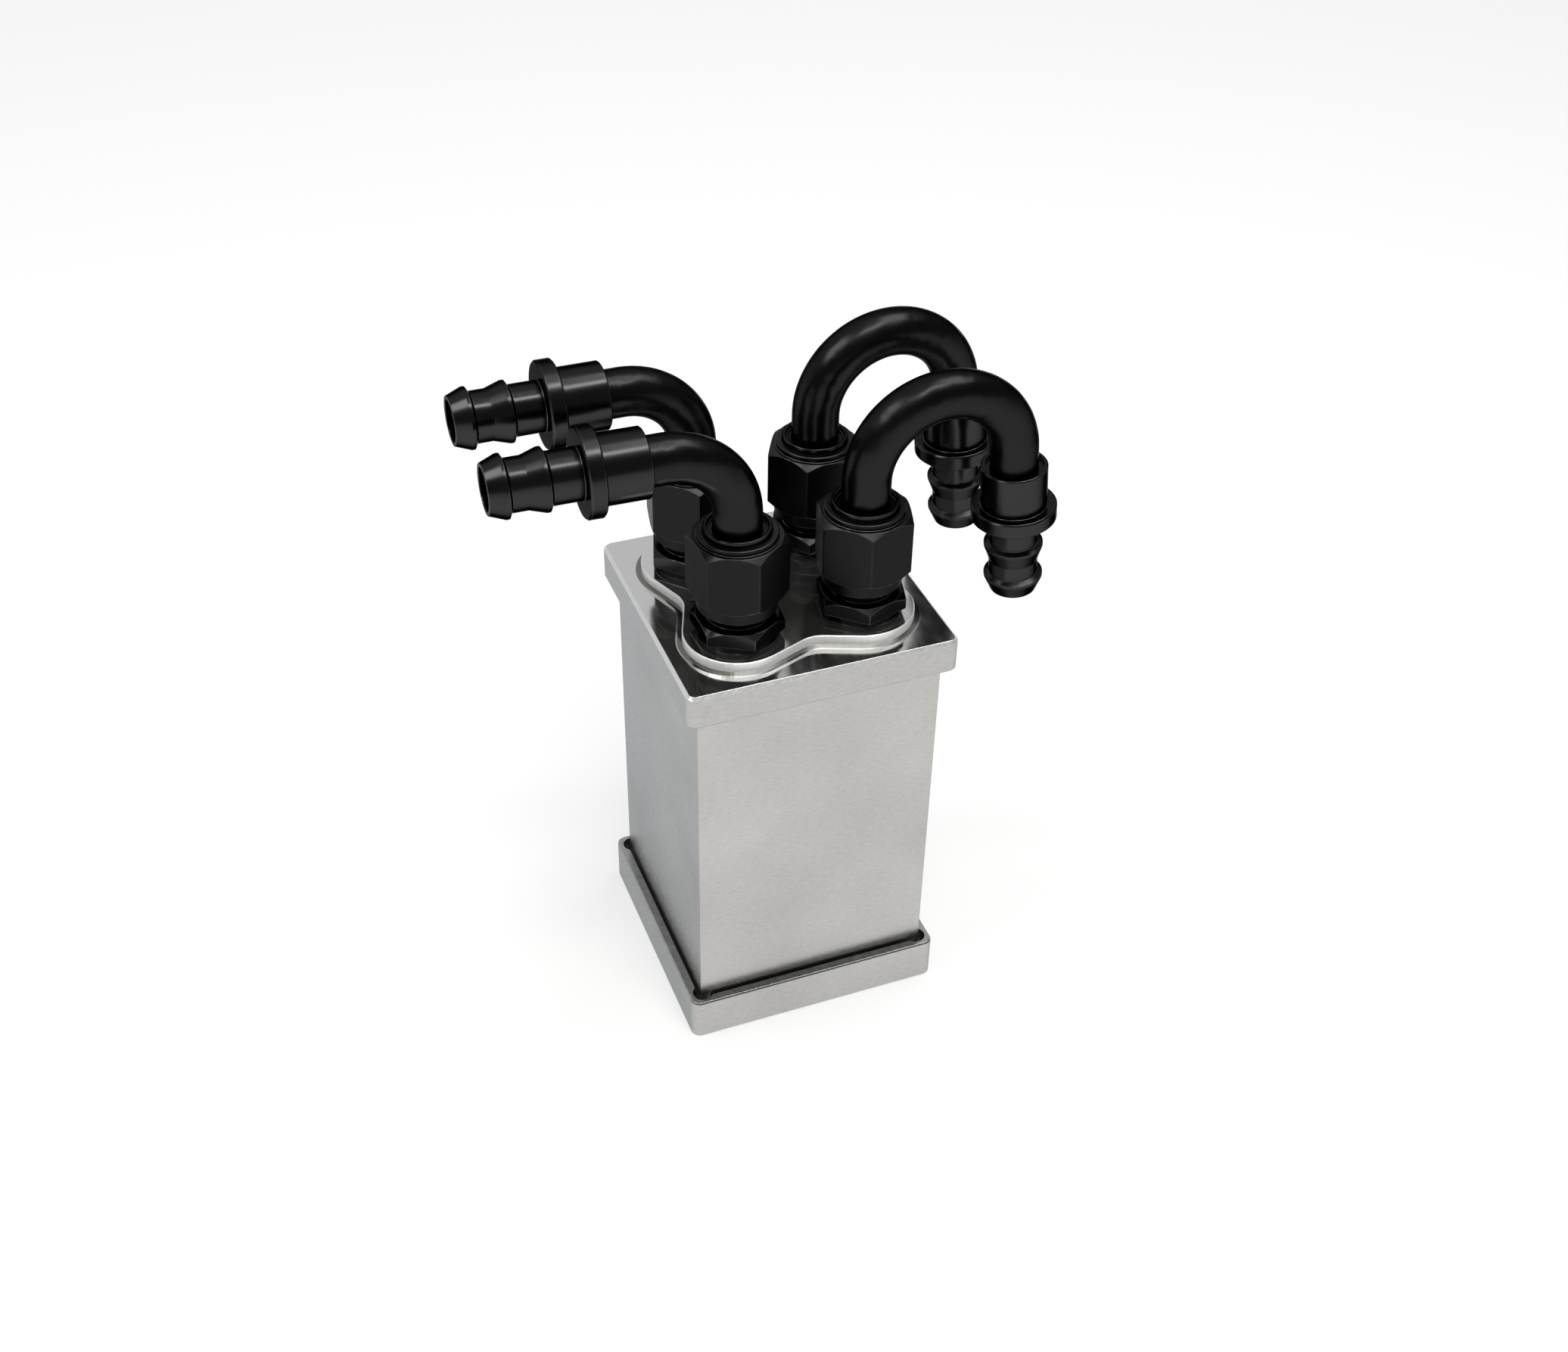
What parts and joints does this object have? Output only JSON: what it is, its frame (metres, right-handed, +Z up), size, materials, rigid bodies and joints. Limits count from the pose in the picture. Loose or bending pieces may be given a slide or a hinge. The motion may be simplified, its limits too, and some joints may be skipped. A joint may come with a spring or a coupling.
{
  "type": "oil catch can",
  "caption": "Square billet oil catch can with a polished lid, a raised port boss, black swivel hose ends with push-on barbs, an inner baffle with a wire pack, and a drain plug in its base.",
  "frame": {"origin": "centre of the base's underside, midway between the two bracket holes", "axes": "+Z up along the can; +X towards the hose ends that bend back down, -X towards the ones that bend level; -Y the front face"},
  "size_m": [0.1792, 0.0888, 0.2294],
  "materials": {
    "machined_aluminium": "satin",
    "polished_aluminium": "polished",
    "mill_aluminium": "satin",
    "zinc_steel": "satin",
    "nitrile_rubber": "matte",
    "knitted_wire": "satin",
    "black_anodised": "satin"
  },
  "bodies": {
    "can": {"body_tube": "machined_aluminium", "base": "machined_aluminium", "lid": "polished_aluminium", "lower_spacers": "mill_aluminium", "upper_spacers": "mill_aluminium", "baffle_shelf": "mill_aluminium", "divider_plate": "mill_aluminium", "tie_bolts": "zinc_steel", "tie_bolt_washers": "zinc_steel", "drain_plug": "zinc_steel", "lid_gasket": "nitrile_rubber", "base_gasket": "nitrile_rubber", "drain_seal": "nitrile_rubber", "port_seal_front_left": "nitrile_rubber", "port_seal_rear_left": "nitrile_rubber", "port_seal_rear_right": "nitrile_rubber", "port_seal_front_right": "nitrile_rubber", "mesh_pack": "knitted_wire", "port_adapter_front_left": "black_anodised", "port_adapter_rear_left": "black_anodised", "port_adapter_rear_right": "black_anodised", "port_adapter_front_right": "black_anodised"},
    "hose_front_left": {"elbow_tube_front_left": "black_anodised", "tube_sleeve_front_left": "black_anodised", "hose_barb_front_left": "black_anodised"},
    "nut_front_left": {"coupling_nut_front_left": "black_anodised"},
    "hose_rear_left": {"elbow_tube_rear_left": "black_anodised", "tube_sleeve_rear_left": "black_anodised", "hose_barb_rear_left": "black_anodised"},
    "nut_rear_left": {"coupling_nut_rear_left": "black_anodised"},
    "hose_rear_right": {"return_tube_rear_right": "black_anodised", "tube_sleeve_rear_right": "black_anodised", "hose_barb_rear_right": "black_anodised"},
    "nut_rear_right": {"coupling_nut_rear_right": "black_anodised"},
    "hose_front_right": {"return_tube_front_right": "black_anodised", "tube_sleeve_front_right": "black_anodised", "hose_barb_front_right": "black_anodised"},
    "nut_front_right": {"coupling_nut_front_right": "black_anodised"}
  },
  "joints": [
    {"name": "hose_front_left_swivel", "type": "hinge", "parent": "can", "child": "hose_front_left", "pos_m": [-0.0205, -0.0205, 0.1878], "axis": [0, 0, 1], "range_deg": [-6.5, 100]},
    {"name": "nut_front_left_spin", "type": "hinge", "parent": "can", "child": "nut_front_left", "pos_m": [-0.0205, -0.0205, 0.1878], "axis": [0, 0, 1], "continuous": true},
    {"name": "hose_rear_left_swivel", "type": "hinge", "parent": "can", "child": "hose_rear_left", "pos_m": [-0.0205, 0.0205, 0.1878], "axis": [0, 0, 1], "range_deg": [-100, 7.5]},
    {"name": "nut_rear_left_spin", "type": "hinge", "parent": "can", "child": "nut_rear_left", "pos_m": [-0.0205, 0.0205, 0.1878], "axis": [0, 0, 1], "continuous": true},
    {"name": "hose_rear_right_swivel", "type": "hinge", "parent": "can", "child": "hose_rear_right", "pos_m": [0.0205, 0.0205, 0.1878], "axis": [0, 0, 1], "range_deg": [-8.5, 100]},
    {"name": "nut_rear_right_spin", "type": "hinge", "parent": "can", "child": "nut_rear_right", "pos_m": [0.0205, 0.0205, 0.1878], "axis": [0, 0, 1], "continuous": true},
    {"name": "hose_front_right_swivel", "type": "hinge", "parent": "can", "child": "hose_front_right", "pos_m": [0.0205, -0.0205, 0.1878], "axis": [0, 0, 1], "range_deg": [-100, 7.5]},
    {"name": "nut_front_right_spin", "type": "hinge", "parent": "can", "child": "nut_front_right", "pos_m": [0.0205, -0.0205, 0.1878], "axis": [0, 0, 1], "continuous": true}
  ]
}
